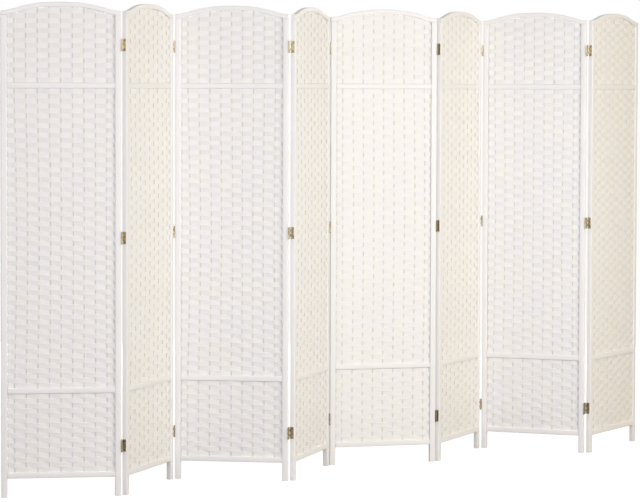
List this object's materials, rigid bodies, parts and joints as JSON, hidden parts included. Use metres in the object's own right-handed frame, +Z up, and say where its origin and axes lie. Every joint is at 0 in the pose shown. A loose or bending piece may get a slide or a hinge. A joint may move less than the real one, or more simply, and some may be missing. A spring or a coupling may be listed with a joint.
{
  "type": "folding screen",
  "caption": "Free-standing folding room divider of arched, woven panels in slim painted wooden frames, joined by two-way screen hinges so that it folds flat.",
  "frame": {"origin": "on the floor, at the centre of the standing zigzag's bounding box", "axes": "+Z up; +X from the outer edge of the first panel towards the outer edge of the last, along the zigzag; the pictured side faces -Y"},
  "size_m": [2.9744, 0.3936, 1.8],
  "materials": {
    "painted_wood": "satin",
    "woven_paper": "matte",
    "aged_brass": "satin"
  },
  "bodies": {
    "panel_1": {"panel_1_stile_left": "painted_wood", "panel_1_stile_right": "painted_wood", "panel_1_rails": "painted_wood", "panel_1_weave": "woven_paper"},
    "panel_2": {"panel_2_stile_left": "painted_wood", "panel_2_stile_right": "painted_wood", "panel_2_rails": "painted_wood", "panel_2_weave": "woven_paper"},
    "panel_3": {"panel_3_stile_left": "painted_wood", "panel_3_stile_right": "painted_wood", "panel_3_rails": "painted_wood", "panel_3_weave": "woven_paper"},
    "panel_4": {"panel_4_stile_left": "painted_wood", "panel_4_stile_right": "painted_wood", "panel_4_rails": "painted_wood", "panel_4_weave": "woven_paper"},
    "panel_5": {"panel_5_stile_left": "painted_wood", "panel_5_stile_right": "painted_wood", "panel_5_rails": "painted_wood", "panel_5_weave": "woven_paper"},
    "panel_6": {"panel_6_stile_left": "painted_wood", "panel_6_stile_right": "painted_wood", "panel_6_rails": "painted_wood", "panel_6_weave": "woven_paper"},
    "panel_7": {"panel_7_stile_left": "painted_wood", "panel_7_stile_right": "painted_wood", "panel_7_rails": "painted_wood", "panel_7_weave": "woven_paper"},
    "panel_8": {"panel_8_stile_left": "painted_wood", "panel_8_stile_right": "painted_wood", "panel_8_rails": "painted_wood", "panel_8_weave": "woven_paper"},
    "fold_1": {"fold_1_web_low": "aged_brass", "fold_1_web_middle": "aged_brass", "fold_1_web_top": "aged_brass"},
    "fold_2": {"fold_2_web_low": "aged_brass", "fold_2_web_middle": "aged_brass", "fold_2_web_top": "aged_brass"},
    "fold_3": {"fold_3_web_low": "aged_brass", "fold_3_web_middle": "aged_brass", "fold_3_web_top": "aged_brass"},
    "fold_4": {"fold_4_web_low": "aged_brass", "fold_4_web_middle": "aged_brass", "fold_4_web_top": "aged_brass"},
    "fold_5": {"fold_5_web_low": "aged_brass", "fold_5_web_middle": "aged_brass", "fold_5_web_top": "aged_brass"},
    "fold_6": {"fold_6_web_low": "aged_brass", "fold_6_web_middle": "aged_brass", "fold_6_web_top": "aged_brass"},
    "fold_7": {"fold_7_web_low": "aged_brass", "fold_7_web_middle": "aged_brass", "fold_7_web_top": "aged_brass"}
  },
  "joints": [
    {"name": "fold_1_front", "type": "hinge", "parent": "fold_1", "child": "panel_1", "pos_m": [-1.09121, -0.17499, 0], "axis": [0, 0, -1], "range_deg": [-160, 0]},
    {"name": "fold_1_back", "type": "hinge", "parent": "panel_2", "child": "fold_1", "pos_m": [-1.08162, -0.15431, 0], "axis": [0, 0, -1], "range_deg": [-62, 118]},
    {"name": "fold_2_front", "type": "hinge", "parent": "fold_2", "child": "panel_2", "pos_m": [-0.7171, 0.09316, 0], "axis": [0, 0, 1], "range_deg": [-78, 102]},
    {"name": "fold_2_back", "type": "hinge", "parent": "panel_3", "child": "fold_2", "pos_m": [-0.70218, 0.11041, 0], "axis": [0, 0, 1], "range_deg": [-160, 0]},
    {"name": "fold_3_front", "type": "hinge", "parent": "fold_3", "child": "panel_3", "pos_m": [-0.38433, -0.1947, 0], "axis": [0, 0, -1], "range_deg": [-160, 0]},
    {"name": "fold_3_back", "type": "hinge", "parent": "panel_4", "child": "fold_3", "pos_m": [-0.36941, -0.17745, 0], "axis": [0, 0, -1], "range_deg": [-80, 100]},
    {"name": "fold_4_front", "type": "hinge", "parent": "panel_4", "child": "fold_4", "pos_m": [-0.01375, 0.08259, 0], "axis": [0, 0, -1], "range_deg": [-57, 123]},
    {"name": "fold_4_back", "type": "hinge", "parent": "fold_4", "child": "panel_5", "pos_m": [-0.00675, 0.10429, 0], "axis": [0, 0, -1], "range_deg": [-160, 0]},
    {"name": "fold_5_front", "type": "hinge", "parent": "panel_5", "child": "fold_5", "pos_m": [0.40504, -0.05237, 0], "axis": [0, 0, 1], "range_deg": [-160, 0]},
    {"name": "fold_5_back", "type": "hinge", "parent": "fold_5", "child": "panel_6", "pos_m": [0.41204, -0.03067, 0], "axis": [0, 0, 1], "range_deg": [-49.5, 130.5]},
    {"name": "fold_6_front", "type": "hinge", "parent": "panel_6", "child": "fold_6", "pos_m": [0.7986, 0.18073, 0], "axis": [0, 0, -1], "range_deg": [-84.5, 95.5]},
    {"name": "fold_6_back", "type": "hinge", "parent": "fold_6", "child": "panel_7", "pos_m": [0.81678, 0.19449, 0], "axis": [0, 0, -1], "range_deg": [-160, 0]},
    {"name": "fold_7_front", "type": "hinge", "parent": "panel_7", "child": "fold_7", "pos_m": [1.06425, -0.17003, 0], "axis": [0, 0, 1], "range_deg": [-160, 0]},
    {"name": "fold_7_back", "type": "hinge", "parent": "fold_7", "child": "panel_8", "pos_m": [1.08243, -0.15626, 0], "axis": [0, 0, 1], "range_deg": [-78, 102]}
  ]
}
